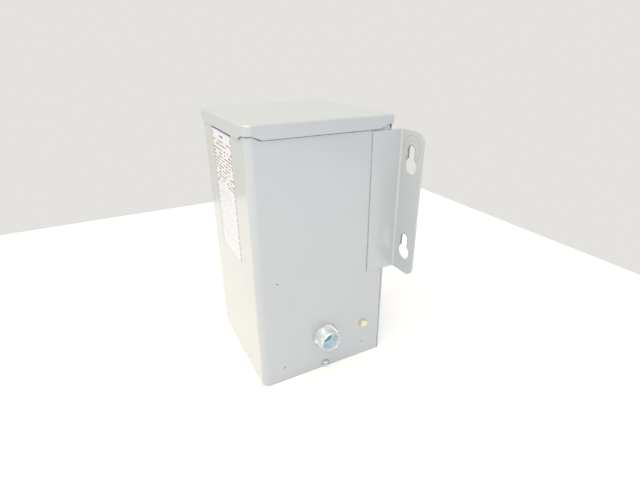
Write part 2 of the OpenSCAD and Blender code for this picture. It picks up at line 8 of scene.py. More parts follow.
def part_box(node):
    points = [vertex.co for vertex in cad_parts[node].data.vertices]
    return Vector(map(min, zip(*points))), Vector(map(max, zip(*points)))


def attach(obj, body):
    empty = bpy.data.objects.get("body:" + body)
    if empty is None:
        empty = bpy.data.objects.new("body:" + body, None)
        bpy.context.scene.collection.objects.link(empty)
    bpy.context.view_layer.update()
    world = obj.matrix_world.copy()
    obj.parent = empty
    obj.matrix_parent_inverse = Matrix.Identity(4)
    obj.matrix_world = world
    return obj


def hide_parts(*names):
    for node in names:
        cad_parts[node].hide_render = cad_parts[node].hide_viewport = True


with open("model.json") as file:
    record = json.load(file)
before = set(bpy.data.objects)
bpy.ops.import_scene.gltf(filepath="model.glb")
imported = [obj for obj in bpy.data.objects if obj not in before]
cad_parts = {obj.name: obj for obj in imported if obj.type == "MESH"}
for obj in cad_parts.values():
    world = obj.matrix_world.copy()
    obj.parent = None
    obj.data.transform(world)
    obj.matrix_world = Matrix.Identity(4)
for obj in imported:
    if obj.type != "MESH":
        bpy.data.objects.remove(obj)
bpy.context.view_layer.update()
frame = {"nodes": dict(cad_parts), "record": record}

# Sizes in metres, read from the frame where a node gives them
MM = 0.001
CASE_LOW, CASE_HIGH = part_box("case_wrap")
PANEL_LOW, PANEL_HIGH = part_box("back_panel")
LID_LOW, LID_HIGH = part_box("top_lid")
LABEL_LOW, LABEL_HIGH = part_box("label")
CASE_SIDE = CASE_HIGH[0]
CASE_BACK = PANEL_HIGH[1]
SKIRT_EDGE = 350.5 * MM
SKIRT_RISE = 5 * MM
SKIRT_FLAT = 9.9 * MM
SKIRT_SLOPE_START = CASE_SIDE - 19.6 * MM
SKIRT_SLOPE_END = CASE_SIDE - 7.6 * MM
CONNECTOR_LOW, CONNECTOR_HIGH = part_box("connector_body")
CONNECTOR_Z = (CONNECTOR_LOW[2] + CONNECTOR_HIGH[2]) / 2
BRACKET_LOW, BRACKET_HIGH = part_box("bracket_right")
GROUND_LOW, GROUND_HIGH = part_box("ground_screw")
GROUND_Y = (GROUND_LOW[1] + GROUND_HIGH[1]) / 2
GROUND_Z = (GROUND_LOW[2] + GROUND_HIGH[2]) / 2
COVER_SCREW_Z = sum(corner[2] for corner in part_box("cover_screw_right")) / 2
BRACKET_SHEET = 2.5 * MM
FLANGE_FRONT = BRACKET_HIGH[1] - BRACKET_SHEET
KEYHOLE_X = CASE_SIDE + 23.6 * MM
UPPER_SLOT_Z = BRACKET_HIGH[2] - 24.5 * MM
LOWER_SLOT_Z = BRACKET_LOW[2] + 52.5 * MM
SLOT_RADIUS = 6.5 * MM
ENTRY_RADIUS = 11.25 * MM
KEYHOLE_RISE = 20.4 * MM
PAINT_RADIUS = 0.3 * MM
WELD_MARK_Y = 65.5 * MM
WELD_MARK_Z = 23.3 * MM

# The photograph's view: where the camera stands and how it is turned
CAMERA_PLACE = Vector((0.5356, -0.2322, 0.4366))
CAMERA_AZIMUTH = math.radians(62.72)
CAMERA_ELEVATION = math.radians(24.41)
CAMERA_ROLL = math.radians(-0.38)
CAMERA_LENS = 23.04

# Edges of the white table top, and how far the floor goes on past them in the wall's tone
TABLE_LEFT = -0.75
TABLE_REAR = 0.731
FLOOR_REACH = 9.0

# Colours
BLACK = (0.0, 0.0, 0.0)
PAINT_GREY = (0.595, 0.632, 0.648)
PAINT_RUBBED = (0.74, 0.76, 0.77)
PAINT_SPOT = (0.72, 0.71, 0.66)
# dark of the paint chips, also used for painted shade on the walls
CHIP_AND_SHADE_DARK = (0.17, 0.165, 0.16)
# dark of the painted shade in the back seam
SEAM_DARK = (0.085, 0.090, 0.100)
# dark of the painted shade round the keyholes
RIM_DARK = (0.14, 0.13, 0.13)
# dark of the painted shade in crevices
CREVICE = (0.055, 0.065, 0.105)
DUST = (0.50, 0.47, 0.42)
# dark of the painted shade on the cover screws
SCREW_SHADE = (0.05, 0.055, 0.07)
LABEL_BLUE = (0.035, 0.07, 0.36)
LABEL_BORDER = (0.03, 0.035, 0.08)
WALL_TONE = (0.775, 0.765, 0.735)
TABLE_TONE = (0.84, 0.835, 0.82)
TABLE_GLOW = (0.345, 0.33, 0.295)
FAR_FLOOR = (0.62, 0.61, 0.58)
ROOM_LIGHT = (0.635, 0.66, 0.725)


# Node helpers
def put(tree, kind, inputs=None, **settings):
    """Adds a node; an input is given by name or number, as a value or as a socket to link."""
    made = tree.nodes.new(kind)
    for key, value in settings.items():
        setattr(made, key, value)
    for key, value in (inputs or {}).items():
        if isinstance(value, bpy.types.NodeSocket):
            tree.links.new(value, made.inputs[key])
        else:
            made.inputs[key].default_value = value
    return made


def calc(tree, operation, *values):
    """Result of one Math node."""
    return put(tree, "ShaderNodeMath", dict(enumerate(values)), operation=operation).outputs[0]


def vector_calc(tree, operation, *values):
    """Vector that one Vector Math node gives."""
    return put(tree, "ShaderNodeVectorMath", dict(enumerate(values)), operation=operation).outputs[0]


def fade(tree, value, start, end, low=0.0, high=1.0):
    """Smooth step of a value from low at start to high at end."""
    step = put(tree, "ShaderNodeMapRange", {"Value": value, "From Min": start, "From Max": end,
        "To Min": low, "To Max": high}, interpolation_type="SMOOTHSTEP")
    return step.outputs["Result"]


def flat_length(tree, first, second):
    """Length of a flat vector given by its two parts."""
    squares = calc(tree, "MULTIPLY_ADD", first, first, calc(tree, "MULTIPLY", second, second))
    return calc(tree, "SQRT", squares)


def parts_of(tree, place):
    """The three coordinates of a place, as a list of sockets."""
    return put(tree, "ShaderNodeSeparateXYZ", {0: place}).outputs


def noise(tree, place, scale, detail=3.0, roughness=0.5):
    """Noise between 0 and 1."""
    return put(tree, "ShaderNodeTexNoise", {"Vector": place, "Scale": scale, "Detail": detail,
        "Roughness": roughness}).outputs["Fac"]


def mix_colour(tree, factor, first, second):
    """Colour between two; a constant is given with three numbers."""
    made = put(tree, "ShaderNodeMix", data_type="RGBA")
    for number, value in ((0, factor), (6, first), (7, second)):
        if isinstance(value, bpy.types.NodeSocket):
            tree.links.new(value, made.inputs[number])
        else:
            made.inputs[number].default_value = value if number == 0 else (*value, 1.0)
    return made.outputs[2]


def seen_rays(tree):
    """Mask of what the camera sees, also in gloss and through glass."""
    rays = tree.nodes.new("ShaderNodeLightPath").outputs
    return calc(tree, "MAXIMUM", calc(tree, "MAXIMUM", rays["Is Camera Ray"], rays["Is Glossy Ray"]),
        rays["Is Transmission Ray"])


def new_group(name, inputs, outputs):
    """Empty shader node group; returns it, the sockets it is given and the node of its results."""
    group = bpy.data.node_groups.new(name, "ShaderNodeTree")
    for socket, kind, default in inputs:
        made = group.interface.new_socket(socket, in_out="INPUT", socket_type=kind)
        if default is not None:
            made.default_value = default
    for socket, kind in outputs:
        group.interface.new_socket(socket, in_out="OUTPUT", socket_type=kind)
    given = group.nodes.new("NodeGroupInput").outputs[:len(inputs)]
    return group, given, group.nodes.new("NodeGroupOutput")


def use_group(tree, group, **inputs):
    """Places a group; an input is given by its name, with _ for a space, as a value or a socket."""
    made = tree.nodes.new("ShaderNodeGroup")
    made.node_tree = group
    for key, value in inputs.items():
        socket = made.inputs[key.replace("_", " ")]
        if isinstance(value, bpy.types.NodeSocket):
            tree.links.new(value, socket)
        else:
            socket.default_value = value
    return made


# Shared effects
def make_baked_paint():
    """Semi-gloss baked paint: clouded tone, fine orange peel, handling marks in the gloss."""
    group, (place, clouding), result = new_group("baked paint",
        [("Place", "NodeSocketVector", None), ("Clouding", "NodeSocketFloat", 0.03)],
        [("Tone", "NodeSocketFloat"), ("Roughness", "NodeSocketFloat"), ("Height", "NodeSocketFloat")])
    clouds = noise(group, place, 9.0, 4.0, 0.55)
    streaks = noise(group, vector_calc(group, "MULTIPLY", place, (60.0, 60.0, 9.0)), 1.0, 3.0)
    handled = noise(group, place, 38.0, 5.0, 0.65)
    peel = noise(group, place, 620.0, 2.0, 0.6)
    grit = noise(group, place, 1900.0, 1.0)
    drift = calc(group, "ADD", calc(group, "SUBTRACT", clouds, 0.5),
        calc(group, "MULTIPLY", calc(group, "SUBTRACT", streaks, 0.5), 0.35))
    tone = calc(group, "MULTIPLY_ADD", drift, clouding, 1.0)
    gloss = calc(group, "MULTIPLY_ADD", calc(group, "SUBTRACT", handled, 0.5), 0.2, 0.42)
    height = calc(group, "MULTIPLY_ADD", grit, 0.25, peel)
    group.links.new(tone, result.inputs["Tone"])
    group.links.new(gloss, result.inputs["Roughness"])
    group.links.new(height, result.inputs["Height"])
    return group


def make_edge_rub():
    """Mask along the edges of a box given by its centre and half size, broken up by noise."""
    group, (place, centre, half, width), result = new_group("edge rub",
        [("Place", "NodeSocketVector", None), ("Centre", "NodeSocketVector", (0, 0, 0)),
         ("Half", "NodeSocketVector", (1, 1, 1)), ("Width", "NodeSocketFloat", 0.001)],
        [("Mask", "NodeSocketFloat")])
    offset = vector_calc(group, "ABSOLUTE", vector_calc(group, "SUBTRACT", place, centre))
    x, y, z = parts_of(group, vector_calc(group, "SUBTRACT", half, offset))
    to_edge = calc(group, "MINIMUM", calc(group, "MAXIMUM", x, y),
        calc(group, "MINIMUM", calc(group, "MAXIMUM", y, z), calc(group, "MAXIMUM", x, z)))
    broken = calc(group, "MULTIPLY", noise(group, place, 160.0, 4.0, 0.7),
        calc(group, "MULTIPLY", width, 2.4))
    wear_and_shade_mask = fade(group, calc(group, "ADD", to_edge, broken), width, calc(group, "MULTIPLY", width, 2.0),
        1.0, 0.0)
    group.links.new(wear_and_shade_mask, result.inputs["Mask"])
    return group


def make_round_mark():
    """Round mark about a centre, between an inner and an outer radius, with a ragged outline."""
    group, (place, centre, inner, outer, soft, ragged, strength), result = new_group("round mark",
        [("Place", "NodeSocketVector", None), ("Centre", "NodeSocketVector", (0, 0, 0)),
         ("Inner", "NodeSocketFloat", 0.0), ("Outer", "NodeSocketFloat", 0.002),
         ("Soft", "NodeSocketFloat", 0.0005), ("Ragged", "NodeSocketFloat", 0.0),
         ("Strength", "NodeSocketFloat", 1.0)],
        [("Mask", "NodeSocketFloat")])
    away = put(group, "ShaderNodeVectorMath", {0: place, 1: centre}, operation="DISTANCE").outputs["Value"]
    wobble = calc(group, "SUBTRACT", noise(group, place, 420.0, 3.0, 0.6), 0.5)
    away = calc(group, "ADD", away, calc(group, "MULTIPLY", wobble, ragged))
    within = fade(group, away, calc(group, "SUBTRACT", outer, soft), outer, 1.0, 0.0)
    beyond = fade(group, away, calc(group, "SUBTRACT", inner, soft), inner)
    ring = calc(group, "MULTIPLY", within, beyond)
    group.links.new(calc(group, "MULTIPLY", ring, strength), result.inputs["Mask"])
    return group


def make_plating():
    """Electroplated zinc: clouded colour, fine scratches and stained gloss."""
    group, (place, light, stained), result = new_group("zinc plating",
        [("Place", "NodeSocketVector", None), ("Light", "NodeSocketColor", (0.8, 0.85, 0.9, 1)),
         ("Stained", "NodeSocketColor", (0.5, 0.6, 0.7, 1))],
        [("Colour", "NodeSocketColor"), ("Roughness", "NodeSocketFloat"), ("Height", "NodeSocketFloat")])
    stains = fade(group, noise(group, place, 110.0, 4.0, 0.6), 0.38, 0.66)
    drawn_out = vector_calc(group, "MULTIPLY", place, (300.0, 2400.0, 2400.0))
    group.links.new(mix_colour(group, stains, light, stained), result.inputs["Colour"])
    group.links.new(calc(group, "MULTIPLY_ADD", stains, 0.14, 0.30), result.inputs["Roughness"])
    group.links.new(noise(group, drawn_out, 1.0, 2.0), result.inputs["Height"])
    return group


def make_keyhole_rim():
    """Painted shade along the rim of a keyhole on an upright flange, strongest along its slot. The slot end
    is the centre of its upper end, and the rise is the way from the entry's centre up to it."""
    group, (place, slot_end, slot_radius, entry_radius, rise, width), result = new_group("keyhole rim",
        [("Place", "NodeSocketVector", None), ("Slot End", "NodeSocketVector", (0, 0, 0)),
         ("Slot Radius", "NodeSocketFloat", 0.006), ("Entry Radius", "NodeSocketFloat", 0.011),
         ("Rise", "NodeSocketFloat", 0.02), ("Width", "NodeSocketFloat", 0.001)],
        [("Mask", "NodeSocketFloat")])
    x, y, z = parts_of(group, vector_calc(group, "SUBTRACT", place, slot_end))
    down = calc(group, "MULTIPLY", z, -1.0)
    along = calc(group, "MINIMUM", calc(group, "MAXIMUM", down, 0.0), rise)
    past_slot = calc(group, "SUBTRACT", down, along)
    past_entry = calc(group, "SUBTRACT", down, rise)
    to_slot = calc(group, "SUBTRACT", flat_length(group, x, past_slot), slot_radius)
    to_entry = calc(group, "SUBTRACT", flat_length(group, x, past_entry), entry_radius)
    half = calc(group, "MULTIPLY", width, 0.5)
    ragged = calc(group, "MULTIPLY", noise(group, place, 300.0, 3.0, 0.6), half)
    to_edge = calc(group, "ADD", calc(group, "MINIMUM", to_slot, to_entry), ragged)
    wear_and_shade_mask = fade(group, to_edge, half, width, 1.0, 0.0)
    middle = calc(group, "MULTIPLY", rise, 0.5)
    upper_end = fade(group, down, middle, calc(group, "ADD", middle, slot_radius), 1.0, 0.15)
    group.links.new(calc(group, "MULTIPLY", wear_and_shade_mask, upper_end), result.inputs["Mask"])
    return group


def make_lid_line():
    """Painted shade in the crevice under the lid's skirt, whose edge rises near the corners."""
    group, (place, edge, relief, ramp_start, ramp_end, width), result = new_group("line under the lid",
        [("Place", "NodeSocketVector", None), ("Edge", "NodeSocketFloat", 0.35),
         ("Relief", "NodeSocketFloat", 0.005), ("Ramp Start", "NodeSocketFloat", 0.08),
         ("Ramp End", "NodeSocketFloat", 0.09), ("Width", "NodeSocketFloat", 0.001)],
        [("Mask", "NodeSocketFloat")])
    x, y, z = parts_of(group, place)
    sideways = calc(group, "MINIMUM", calc(group, "ABSOLUTE", x), calc(group, "ABSOLUTE", y))
    risen = fade(group, sideways, ramp_start, ramp_end)
    below = calc(group, "SUBTRACT", calc(group, "MULTIPLY_ADD", risen, relief, edge), z)
    uneven = calc(group, "MULTIPLY", noise(group, place, 130.0, 3.0), width)
    corner = fade(group, sideways, ramp_end, calc(group, "ADD", ramp_end, 1.6 * MM), 0.0, 0.25)
    reach = calc(group, "MULTIPLY", width, calc(group, "ADD", corner, 1.0))
    line = fade(group, calc(group, "MULTIPLY_ADD", uneven, 0.6, below),
        calc(group, "MULTIPLY", reach, 0.55), reach, 1.0, 0.0)
    group.links.new(line, result.inputs["Mask"])
    return group


BAKED_PAINT = make_baked_paint()
KEYHOLE_RIM = make_keyhole_rim()
LID_LINE = make_lid_line()
EDGE_RUB = make_edge_rub()
ROUND_MARK = make_round_mark()
PLATING = make_plating()


# Materials
def new_material(name):
    """Material with its nodes, its shader and the object coordinates."""
    material = bpy.data.materials.new(name)
    material.use_nodes = True
    tree = material.node_tree
    shader = tree.nodes["Principled BSDF"]
    place = tree.nodes.new("ShaderNodeTexCoord").outputs["Object"]
    return material, tree, shader, place


def bump(tree, shader, height, depth):
    """Small relief of a height pattern, as deep as given."""
    made = put(tree, "ShaderNodeBump", {"Height": height, "Distance": depth, "Strength": 1.0})
    tree.links.new(made.outputs[0], shader.inputs["Normal"])


def round_marks(tree, place, marks):
    """Union of the masks of several marks, each a dict of the group's inputs."""
    total = 0.0
    for each in marks:
        mask = use_group(tree, ROUND_MARK, Place=place, **each).outputs["Mask"]
        total = calc(tree, "MAXIMUM", total, mask)
    return total


def mark(centre, outer, soft, ragged, strength, inner=0.0):
    """Round mark on a sheet; its lengths are in millimetres."""
    return {"Centre": centre, "Inner": inner * MM, "Outer": outer * MM, "Soft": soft * MM,
        "Ragged": ragged * MM, "Strength": strength}


def paint_material(name, low, high, dark_marks=(), pale_marks=(), rub=0.5, seam=False, lid_line=False,
        keyhole_side=0):
    """Grey baked paint on a sheet piece whose box is given, with its own marks. The keyhole side
    is 1 or -1 on a bracket, right or left, and 0 elsewhere."""
    material, tree, shader, place = new_material(name)
    centre = [(a + b) / 2 for a, b in zip(low, high)]
    half = [(b - a) / 2 for a, b in zip(low, high)]
    paint = use_group(tree, BAKED_PAINT, Place=place, Clouding=0.07)
    tinted = put(tree, "ShaderNodeVectorMath", {0: PAINT_GREY, "Scale": paint.outputs["Tone"]},
        operation="SCALE").outputs[0]
    wear_and_shade_mask = use_group(tree, EDGE_RUB, Place=place, Centre=centre, Half=half, Width=0.9 * MM).outputs["Mask"]
    shade = mix_colour(tree, calc(tree, "MULTIPLY", wear_and_shade_mask, rub), tinted, PAINT_RUBBED)
    x, y, z = parts_of(tree, place)
    dust = calc(tree, "MULTIPLY", fade(tree, z, 0.0, 22 * MM, 1.0, 0.0), noise(tree, place, 55.0, 5.0, 0.6))
    shade = mix_colour(tree, calc(tree, "MULTIPLY", dust, 0.16), shade, DUST)
    if pale_marks:
        shade = mix_colour(tree, round_marks(tree, place, pale_marks), shade, PAINT_SPOT)
    if dark_marks:
        marked = round_marks(tree, place, dark_marks)
        if keyhole_side:
            on_front = calc(tree, "LESS_THAN", y, FLANGE_FRONT + 0.5 * MM)
            marked = calc(tree, "MULTIPLY", marked, on_front)
        # dark marks: chips, a washer's print, and painted shade where listed
        shade = mix_colour(tree, marked, shade, CHIP_AND_SHADE_DARK)
    if seam:
        # painted shade in the back seam and in the notch under the skirt's raised corner
        notch = fade(tree, z, SKIRT_EDGE - 0.8 * MM, SKIRT_EDGE + 0.2 * MM, 0.0, 0.9)
        shade = mix_colour(tree, calc(tree, "MAXIMUM", seam_shadow(tree, place), notch), shade, SEAM_DARK)
    if lid_line:
        # painted shade under the lid's skirt and along the edges of the bracket plates
        line = use_group(tree, LID_LINE, Place=place, Edge=SKIRT_EDGE, Relief=SKIRT_RISE,
            Ramp_Start=SKIRT_SLOPE_START, Ramp_End=SKIRT_SLOPE_END, Width=2.75 * MM).outputs["Mask"]
        shade = mix_colour(tree, calc(tree, "MULTIPLY", line, 0.8), shade, CREVICE)
        shade = mix_colour(tree, plate_shadow(tree, place), shade, CREVICE)
    # painted shade round the edges of the bracket's keyholes
    if keyhole_side:
        rims = [use_group(tree, KEYHOLE_RIM, Place=place, Slot_Radius=SLOT_RADIUS,
            Slot_End=(keyhole_side * KEYHOLE_X, FLANGE_FRONT, height), Entry_Radius=ENTRY_RADIUS,
            Rise=KEYHOLE_RISE, Width=1.9 * MM).outputs["Mask"] for height in (UPPER_SLOT_Z, LOWER_SLOT_Z)]
        rim = calc(tree, "MULTIPLY", calc(tree, "MAXIMUM", *rims), 0.85)
        shade = mix_colour(tree, rim, shade, RIM_DARK)
    tree.links.new(shade, shader.inputs["Base Color"])
    shader.inputs["Coat Weight"].default_value = 1.0
    shader.inputs["Coat Roughness"].default_value = 0.13
    shader.inputs["Coat IOR"].default_value = 1.8
    tree.links.new(paint.outputs["Roughness"], shader.inputs["Roughness"])
    bump(tree, shader, paint.outputs["Height"], 0.012 * MM)
    return material


def plate_shadow(tree, place):
    """Mask of the thin dark line where the brackets' plates meet the case sides."""
    x, y, z = parts_of(tree, place)
    outside = calc(tree, "MAXIMUM", calc(tree, "SUBTRACT", BRACKET_LOW[1], y),
        calc(tree, "SUBTRACT", BRACKET_LOW[2], z))
    uneven = calc(tree, "MULTIPLY", noise(tree, place, 150.0, 3.0), 1.2 * MM)
    line = fade(tree, calc(tree, "ADD", outside, uneven), 0.2 * MM, 1.6 * MM, 0.7, 0.0)
    beside = calc(tree, "GREATER_THAN", calc(tree, "ABSOLUTE", x), CASE_SIDE - 0.05 * MM)
    under_top = calc(tree, "LESS_THAN", z, BRACKET_HIGH[2])
    return calc(tree, "MULTIPLY", line, calc(tree, "MULTIPLY", beside, under_top))


def seam_shadow(tree, place):
    """Mask of painted shade at the bottom of the seam on the back panel."""
    x, y, z = parts_of(tree, place)
    inside = fade(tree, calc(tree, "ABSOLUTE", x), CASE_SIDE - 0.7 * MM, CASE_SIDE - 0.25 * MM, 1.0, 0.0)
    ahead = fade(tree, y, CASE_BACK - 3.9 * MM, CASE_BACK - 3.4 * MM, 1.0, 0.0)
    return calc(tree, "MULTIPLY", inside, ahead)


def plated_material(name, light, stained, metallic, shade_mask=None):
    """Zinc-plated steel; where a mask is given, painted shade darkens the colour inside it."""
    material, tree, shader, place = new_material(name)
    plating = use_group(tree, PLATING, Place=place, Light=(*light, 1), Stained=(*stained, 1))
    colour = plating.outputs["Colour"]
    if shade_mask:
        # painted shade, where a mask is given
        colour = mix_colour(tree, shade_mask(tree, place), colour, SCREW_SHADE)
    shader.inputs["Metallic"].default_value = metallic
    tree.links.new(colour, shader.inputs["Base Color"])
    tree.links.new(plating.outputs["Roughness"], shader.inputs["Roughness"])
    bump(tree, shader, plating.outputs["Height"], 0.02 * MM)
    return material


def cover_screw_shade(tree, place):
    """Mask of painted shade in a cover screw's slot and where its washer face meets the wall."""
    x, y, z = parts_of(tree, place)
    out = calc(tree, "SUBTRACT", calc(tree, "ABSOLUTE", x), CASE_SIDE)
    level = calc(tree, "ABSOLUTE", calc(tree, "SUBTRACT", z, COVER_SCREW_Z))
    slot = calc(tree, "MULTIPLY", fade(tree, level, 0.55 * MM, 0.8 * MM, 1.0, 0.0),
        fade(tree, out, 3.0 * MM, 3.7 * MM, 1.0, 0.0))
    uneven = calc(tree, "MULTIPLY", noise(tree, place, 500.0, 2.0), 0.8 * MM)
    foot = fade(tree, calc(tree, "ADD", out, uneven), 1.0 * MM, 1.4 * MM, 1.0, 0.0)
    return calc(tree, "MULTIPLY", calc(tree, "MAXIMUM", slot, foot), 0.85)


def plain_material(name, colour, roughness=0.5, metallic=0.0, spread=0.12, scale=90.0, depth=0.03 * MM):
    """Finish of a hidden piece: one colour with a little cloud and grain."""
    material, tree, shader, place = new_material(name)
    cloud = noise(tree, place, scale, 4.0, 0.6)
    darker = tuple(channel * (1 - spread) for channel in colour)
    lighter = tuple(min(1.0, channel * (1 + spread)) for channel in colour)
    tree.links.new(mix_colour(tree, cloud, darker, lighter), shader.inputs["Base Color"])
    tree.links.new(calc(tree, "MULTIPLY_ADD", cloud, 0.2, roughness - 0.1), shader.inputs["Roughness"])
    shader.inputs["Metallic"].default_value = metallic
    bump(tree, shader, noise(tree, place, scale * 9, 3.0), depth)
    return material


def wire_material(name, colour):
    """Enamelled wire wound in level turns: fine ridges along the winding's height."""
    material, tree, shader, place = new_material(name)
    z = parts_of(tree, place)[2]
    wire_step = 1.6 * MM
    turns = calc(tree, "SINE", calc(tree, "MULTIPLY", z, 2 * math.pi / wire_step))
    cloud = noise(tree, place, 60.0, 3.0)
    darker = tuple(channel * 0.8 for channel in colour)
    tree.links.new(mix_colour(tree, cloud, darker, colour), shader.inputs["Base Color"])
    tree.links.new(calc(tree, "MULTIPLY_ADD", cloud, 0.2, 0.22), shader.inputs["Roughness"])
    shader.inputs["Metallic"].default_value = 0.85
    bump(tree, shader, turns, 0.25 * MM)
    return material


def label_material():
    """White film, warmer in its upper half, with a blue band along its top and dashed dark borders."""
    material, tree, shader, place = new_material("label film")
    x, y, z = parts_of(tree, place)
    side = calc(tree, "ABSOLUTE", x)
    half = (LABEL_HIGH[0] - LABEL_LOW[0]) / 2
    top = LABEL_HIGH[2]
    film = mix_colour(tree, noise(tree, place, 26.0, 4.0), (0.86, 0.885, 0.94), (0.90, 0.925, 0.98))
    upper = fade(tree, z, LABEL_LOW[2] + 80 * MM, LABEL_LOW[2] + 96 * MM, 0.0, 0.8)
    film = mix_colour(tree, upper, film, (0.95, 0.94, 0.92))
    border = calc(tree, "MULTIPLY", fade(tree, side, half - 2.8 * MM, half - 2.6 * MM),
        fade(tree, side, half - 0.5 * MM, half - 0.3 * MM, 1.0, 0.0))
    dashes = fade(tree, calc(tree, "PINGPONG", z, 4.2 * MM), 0.9 * MM, 1.2 * MM)
    dashed = calc(tree, "MULTIPLY", calc(tree, "MULTIPLY", border, dashes), 0.9)
    film = mix_colour(tree, dashed, film, LABEL_BORDER)
    band = fade(tree, z, top - 2.9 * MM, top - 2.7 * MM)
    film = mix_colour(tree, band, film, LABEL_BLUE)
    tree.links.new(film, shader.inputs["Base Color"])
    gloss = calc(tree, "MULTIPLY_ADD", noise(tree, place, 45.0, 4.0, 0.6), 0.2, 0.22)
    tree.links.new(gloss, shader.inputs["Roughness"])
    bump(tree, shader, noise(tree, place, 70.0, 3.0), 0.05 * MM)
    return material


def ink_material(name, colour):
    """Printing ink with worn places."""
    material, tree, shader, place = new_material(name)
    wear_and_shade_mask = fade(tree, noise(tree, place, 240.0, 4.0, 0.7), 0.56, 0.76)
    faded = tuple(0.6 * channel + 0.3 for channel in colour)
    tree.links.new(mix_colour(tree, wear_and_shade_mask, colour, faded), shader.inputs["Base Color"])
    tree.links.new(calc(tree, "MULTIPLY_ADD", wear_and_shade_mask, 0.2, 0.35), shader.inputs["Roughness"])
    bump(tree, shader, noise(tree, place, 900.0, 2.0), 0.01 * MM)
    return material


# Meshes
def keep(piece, node=None):
    """Makes a finished piece move with the body, and hides the CAD node it stands for."""
    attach(piece, "root")
    if node:
        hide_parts(node)


def link_mesh(name, mesh, material):
    """Object in the scene that shows a mesh in one material."""
    made = bpy.data.objects.new(name, mesh)
    bpy.context.scene.collection.objects.link(made)
    mesh.materials.clear()
    mesh.materials.append(material)
    return made


def applied(source, name, material):
    """Plain mesh object of what the source's modifiers give; the source is removed."""
    bpy.context.view_layer.update()
    shown = source.evaluated_get(bpy.context.evaluated_depsgraph_get())
    mesh = bpy.data.meshes.new_from_object(shown)
    bpy.data.objects.remove(source)
    mesh.name = name
    return link_mesh(name, mesh, material)


def softened(node, name, material, width, angle=28.0, corner_edge=None):
    """Copy of a CAD node whose sharp edges have a small painted or rolled radius.
    Where a corner edge is given, the front corners of a skirt end level at that height."""
    mesh = frame["nodes"][node].data.copy()
    shape = bmesh.new()
    shape.from_mesh(mesh)
    if corner_edge:
        for point in shape.verts:
            if abs(point.co.x) > LID_HIGH[0] - SKIRT_FLAT and point.co.y < LID_LOW[1] + SKIRT_FLAT:
                point.co.z = max(point.co.z, corner_edge)
    bmesh.ops.remove_doubles(shape, verts=shape.verts, dist=0.002 * MM)
    bmesh.ops.dissolve_limit(shape, angle_limit=math.radians(0.6), verts=shape.verts, edges=shape.edges)
    shape.to_mesh(mesh)
    shape.free()
    if "custom_normal" in mesh.attributes:
        mesh.attributes.remove(mesh.attributes["custom_normal"])
    mesh.shade_smooth()
    rough = link_mesh(name, mesh, material)
    bevel = rough.modifiers.new("edge radius", "BEVEL")
    bevel.width = width
    bevel.segments = 2
    bevel.limit_method = "ANGLE"
    bevel.angle_limit = math.radians(angle)
    bevel.use_clamp_overlap = True
    bevel.miter_outer = "MITER_ARC"
    level = rough.modifiers.new("flat faces stay flat", "WEIGHTED_NORMAL")
    level.keep_sharp = True
    keep(applied(rough, name, material), node)


def turned(name, rings, centre, material, steps=96, flats_turn=0.0):
    """Closed turned piece about a line along X through the centre, from a loop of rings.
    A ring is (x, radius) or (x, radius, apothem), where a hexagon of that apothem limits the radius."""
    shape = bmesh.new()
    loops = []
    for x, limit, *apothem in rings:
        loop = []
        for step in range(steps):
            angle = 2 * math.pi * step / steps
            radius = limit
            if apothem:
                from_flat = (angle - flats_turn) % (math.pi / 3) - math.pi / 6
                radius = min(limit, apothem[0] / math.cos(from_flat))
            loop.append(shape.verts.new((x, centre[0] + radius * math.sin(angle),
                centre[1] + radius * math.cos(angle))))
        loops.append(loop)
    for number, loop in enumerate(loops):
        other = loops[(number + 1) % len(loops)]
        for step in range(steps):
            after = (step + 1) % steps
            shape.faces.new((loop[step], loop[after], other[after], other[step]))
    bmesh.ops.remove_doubles(shape, verts=shape.verts, dist=0.001 * MM)
    bmesh.ops.recalc_face_normals(shape, faces=shape.faces)
    mesh = bpy.data.meshes.new(name)
    shape.to_mesh(mesh)
    shape.free()
    mesh.shade_smooth()
    mesh.set_sharp_from_angle(angle=math.radians(32))
    return link_mesh(name, mesh, material)


# Geometry node trees
def new_geometry_tree(name, inputs):
    """Empty geometry node tree; returns it, the sockets it is given and the node of its result."""
    tree = bpy.data.node_groups.new(name, "GeometryNodeTree")
    for socket, kind, default in inputs:
        made = tree.interface.new_socket(socket, in_out="INPUT", socket_type=kind)
        if default is not None:
            made.default_value = default
    tree.interface.new_socket("Geometry", in_out="OUTPUT", socket_type="NodeSocketGeometry")
    given = tree.nodes.new("NodeGroupInput").outputs[:len(inputs)]
    return tree, given, tree.nodes.new("NodeGroupOutput")


def finish_tree(tree, geometry, finish, result):
    """Ends a geometry node tree with real instances in the given material."""
    real = put(tree, "GeometryNodeRealizeInstances", {"Geometry": geometry})
    coated = put(tree, "GeometryNodeSetMaterial", {"Geometry": real.outputs[0], "Material": finish})
    tree.links.new(coated.outputs[0], result.inputs[0])


def grown(tree, name, material, values):
    """Mesh object that a geometry node tree makes with the given values."""
    host = bpy.data.objects.new(name, bpy.data.meshes.new(name))
    bpy.context.scene.collection.objects.link(host)
    modifier = host.modifiers.new(tree.name, "NODES")
    modifier.node_group = tree
    for item in tree.interface.items_tree:
        if item.item_type == "SOCKET" and item.in_out == "INPUT" and item.name in values:
            modifier[item.identifier] = values[item.name]
    return applied(host, name, material)


